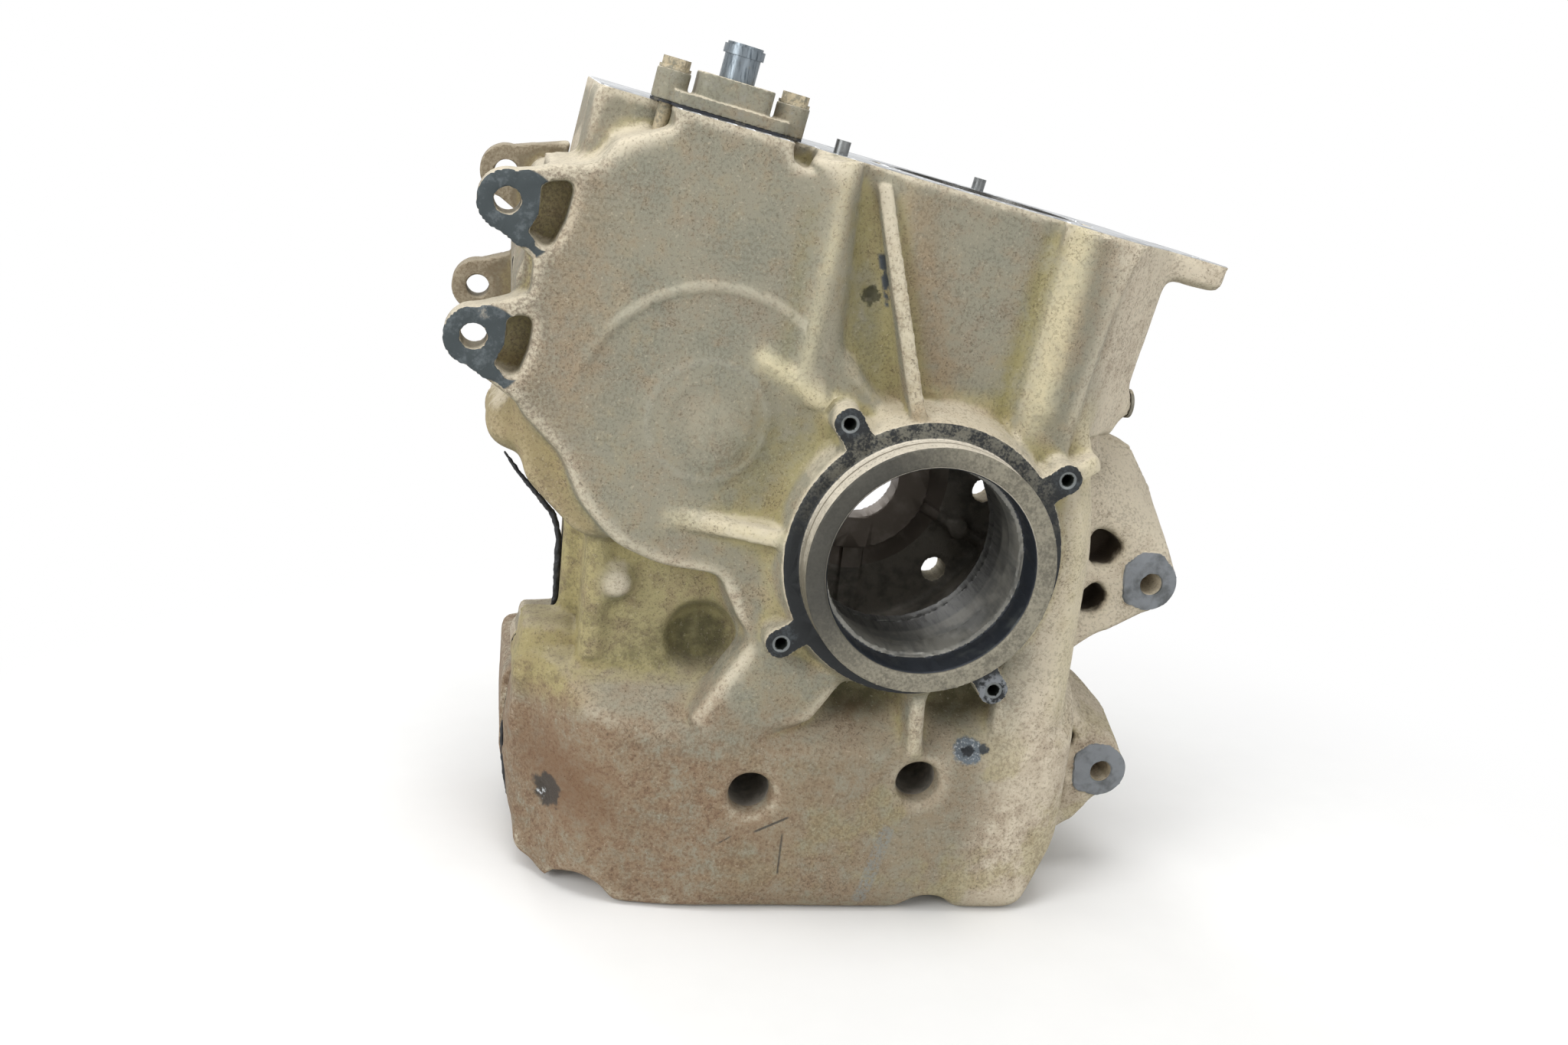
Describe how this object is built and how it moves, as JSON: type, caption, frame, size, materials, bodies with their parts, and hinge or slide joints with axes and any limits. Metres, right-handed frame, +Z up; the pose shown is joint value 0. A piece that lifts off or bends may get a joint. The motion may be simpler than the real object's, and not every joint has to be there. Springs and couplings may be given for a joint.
{
  "type": "crankcase",
  "caption": "Used two-part engine crankcase in dusty cast alloy: leaning cylinder block, round stepped crank bore, suspension lugs, coolant outlet and a sump with a flat base.",
  "frame": {"origin": "centre of the crank bore in the front face of the spigot ring", "axes": "+Y runs into the case along the crank axis, +Z is up, +X to the right as seen from the spigot"},
  "size_m": [0.3401, 0.176, 0.3701],
  "materials": {
    "cast_alloy": "sand-textured casting under dry dust, machined faces darkened",
    "cast_alloy_rear": "sand-textured casting under dry dust",
    "sealant": "black silicone, dull",
    "liner_iron": "honed",
    "outlet_alloy": "cast, dusty",
    "gasket": "dark fibre sheet",
    "nipple_steel": "plated, dull",
    "dusty_steel": "plated, under dust",
    "dowel_steel": "ground, stained",
    "washer_alloy": "soft, dull",
    "plug_steel": "plated, dusty",
    "bolt_steel": "plated, dusty"
  },
  "bodies": {
    "root": {"front_case": "cast_alloy", "rear_case": "cast_alloy_rear", "case_sealant": "sealant", "cylinder_liner": "liner_iron", "outlet_housing": "outlet_alloy", "outlet_gasket": "gasket", "outlet_nipple": "nipple_steel", "outlet_bolt_left": "dusty_steel", "outlet_bolt_right": "dusty_steel", "deck_dowel_left": "dowel_steel", "deck_dowel_right": "dowel_steel", "joint_sleeve_low": "dowel_steel", "joint_sleeve_high": "dowel_steel", "drain_washer": "washer_alloy", "drain_plug": "plug_steel", "gallery_plug": "plug_steel", "case_bolt_1": "bolt_steel", "case_bolt_2": "bolt_steel", "case_bolt_3": "bolt_steel", "case_bolt_4": "bolt_steel", "case_bolt_5": "bolt_steel", "case_bolt_6": "bolt_steel", "case_bolt_7": "bolt_steel", "case_bolt_8": "bolt_steel"}
  },
  "joints": []
}
